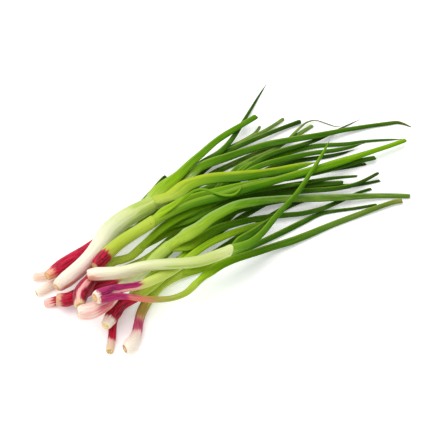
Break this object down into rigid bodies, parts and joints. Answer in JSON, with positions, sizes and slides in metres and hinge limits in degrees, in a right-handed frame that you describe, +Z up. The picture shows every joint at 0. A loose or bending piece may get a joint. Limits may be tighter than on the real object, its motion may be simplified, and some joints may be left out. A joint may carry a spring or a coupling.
{
  "type": "spring onion bunch",
  "caption": "Loose bunch of fresh red and white spring onions lying on their sides, with slim bulbs at one end and fanned-out green leaves at the other.",
  "frame": {"origin": "centre of the bunch's bounding box on the table surface it lies on", "axes": "+X along the bunch from the bulbs to the leaf tips, +Z up from the table, +Y across the bunch"},
  "size_m": [0.381, 0.2198, 0.0436],
  "materials": {
    "onion_01_shank": "smooth moist plant skin, semi-gloss, fine lengthwise streaks",
    "onion_01_leaf_1": "smooth waxy leaf skin, semi-gloss, fine lengthwise veins",
    "onion_01_leaf_2": "smooth waxy leaf skin, semi-gloss, fine lengthwise veins",
    "onion_02_shank": "smooth moist plant skin, semi-gloss, fine lengthwise streaks",
    "onion_02_leaf_1": "smooth waxy leaf skin, semi-gloss, fine lengthwise veins",
    "onion_02_leaf_2": "smooth waxy leaf skin, semi-gloss, fine lengthwise veins",
    "onion_03_shank": "smooth moist plant skin, semi-gloss, fine lengthwise streaks",
    "onion_03_leaf_1": "smooth waxy leaf skin, semi-gloss, fine lengthwise veins",
    "onion_03_leaf_2": "smooth waxy leaf skin, semi-gloss, fine lengthwise veins",
    "onion_03_leaf_3": "smooth waxy leaf skin, semi-gloss, fine lengthwise veins",
    "onion_04_shank": "smooth moist plant skin, semi-gloss, fine lengthwise streaks",
    "onion_04_leaf_1": "smooth waxy leaf skin, semi-gloss, fine lengthwise veins",
    "onion_04_leaf_2": "smooth waxy leaf skin, semi-gloss, fine lengthwise veins",
    "onion_04_leaf_3": "smooth waxy leaf skin, semi-gloss, fine lengthwise veins",
    "onion_05_shank": "smooth moist plant skin, semi-gloss, fine lengthwise streaks",
    "onion_05_leaf_1": "smooth waxy leaf skin, semi-gloss, fine lengthwise veins",
    "onion_05_leaf_2": "smooth waxy leaf skin, semi-gloss, fine lengthwise veins",
    "onion_06_shank": "smooth moist plant skin, semi-gloss, fine lengthwise streaks",
    "onion_06_leaf_1": "smooth waxy leaf skin, semi-gloss, fine lengthwise veins",
    "onion_06_leaf_2": "smooth waxy leaf skin, semi-gloss, fine lengthwise veins",
    "onion_07_shank": "smooth moist plant skin, semi-gloss, fine lengthwise streaks",
    "onion_07_leaf_1": "smooth waxy leaf skin, semi-gloss, fine lengthwise veins",
    "onion_07_leaf_2": "smooth waxy leaf skin, semi-gloss, fine lengthwise veins",
    "onion_07_leaf_3": "smooth waxy leaf skin, semi-gloss, fine lengthwise veins",
    "onion_08_shank": "smooth moist plant skin, semi-gloss, fine lengthwise streaks",
    "onion_08_leaf_1": "smooth waxy leaf skin, semi-gloss, fine lengthwise veins",
    "onion_08_leaf_2": "smooth waxy leaf skin, semi-gloss, fine lengthwise veins",
    "onion_09_shank": "smooth moist plant skin, semi-gloss, fine lengthwise streaks",
    "onion_09_leaf_1": "smooth waxy leaf skin, semi-gloss, fine lengthwise veins",
    "onion_09_leaf_2": "smooth waxy leaf skin, semi-gloss, fine lengthwise veins",
    "onion_10_shank": "smooth moist plant skin, semi-gloss, fine lengthwise streaks",
    "onion_10_leaf_1": "smooth waxy leaf skin, semi-gloss, fine lengthwise veins",
    "onion_11_shank": "smooth moist plant skin, semi-gloss, fine lengthwise streaks",
    "onion_11_leaf_1": "smooth waxy leaf skin, semi-gloss, fine lengthwise veins",
    "onion_12_shank": "smooth moist plant skin, semi-gloss, fine lengthwise streaks",
    "onion_12_leaf_1": "smooth waxy leaf skin, semi-gloss, fine lengthwise veins",
    "onion_12_leaf_2": "smooth waxy leaf skin, semi-gloss, fine lengthwise veins",
    "onion_12_leaf_3": "smooth waxy leaf skin, semi-gloss, fine lengthwise veins",
    "onion_13_shank": "smooth moist plant skin, semi-gloss, fine lengthwise streaks",
    "onion_13_leaf_1": "smooth waxy leaf skin, semi-gloss, fine lengthwise veins",
    "onion_14_shank": "smooth moist plant skin, semi-gloss, fine lengthwise streaks",
    "onion_14_leaf_1": "smooth waxy leaf skin, semi-gloss, fine lengthwise veins",
    "onion_14_leaf_2": "smooth waxy leaf skin, semi-gloss, fine lengthwise veins",
    "onion_15_shank": "smooth moist plant skin, semi-gloss, fine lengthwise streaks",
    "onion_15_leaf_1": "smooth waxy leaf skin, semi-gloss, fine lengthwise veins",
    "onion_15_leaf_2": "smooth waxy leaf skin, semi-gloss, fine lengthwise veins",
    "onion_15_leaf_3": "smooth waxy leaf skin, semi-gloss, fine lengthwise veins"
  },
  "bodies": {
    "root": {"onion_01_shank": "onion_01_shank", "onion_01_leaf_1": "onion_01_leaf_1", "onion_01_leaf_2": "onion_01_leaf_2", "onion_02_shank": "onion_02_shank", "onion_02_leaf_1": "onion_02_leaf_1", "onion_02_leaf_2": "onion_02_leaf_2", "onion_03_shank": "onion_03_shank", "onion_03_leaf_1": "onion_03_leaf_1", "onion_03_leaf_2": "onion_03_leaf_2", "onion_03_leaf_3": "onion_03_leaf_3", "onion_04_shank": "onion_04_shank", "onion_04_leaf_1": "onion_04_leaf_1", "onion_04_leaf_2": "onion_04_leaf_2", "onion_04_leaf_3": "onion_04_leaf_3", "onion_05_shank": "onion_05_shank", "onion_05_leaf_1": "onion_05_leaf_1", "onion_05_leaf_2": "onion_05_leaf_2", "onion_06_shank": "onion_06_shank", "onion_06_leaf_1": "onion_06_leaf_1", "onion_06_leaf_2": "onion_06_leaf_2", "onion_07_shank": "onion_07_shank", "onion_07_leaf_1": "onion_07_leaf_1", "onion_07_leaf_2": "onion_07_leaf_2", "onion_07_leaf_3": "onion_07_leaf_3", "onion_08_shank": "onion_08_shank", "onion_08_leaf_1": "onion_08_leaf_1", "onion_08_leaf_2": "onion_08_leaf_2", "onion_09_shank": "onion_09_shank", "onion_09_leaf_1": "onion_09_leaf_1", "onion_09_leaf_2": "onion_09_leaf_2", "onion_10_shank": "onion_10_shank", "onion_10_leaf_1": "onion_10_leaf_1", "onion_11_shank": "onion_11_shank", "onion_11_leaf_1": "onion_11_leaf_1", "onion_12_shank": "onion_12_shank", "onion_12_leaf_1": "onion_12_leaf_1", "onion_12_leaf_2": "onion_12_leaf_2", "onion_12_leaf_3": "onion_12_leaf_3", "onion_13_shank": "onion_13_shank", "onion_13_leaf_1": "onion_13_leaf_1", "onion_14_shank": "onion_14_shank", "onion_14_leaf_1": "onion_14_leaf_1", "onion_14_leaf_2": "onion_14_leaf_2", "onion_15_shank": "onion_15_shank", "onion_15_leaf_1": "onion_15_leaf_1", "onion_15_leaf_2": "onion_15_leaf_2", "onion_15_leaf_3": "onion_15_leaf_3"}
  },
  "joints": []
}
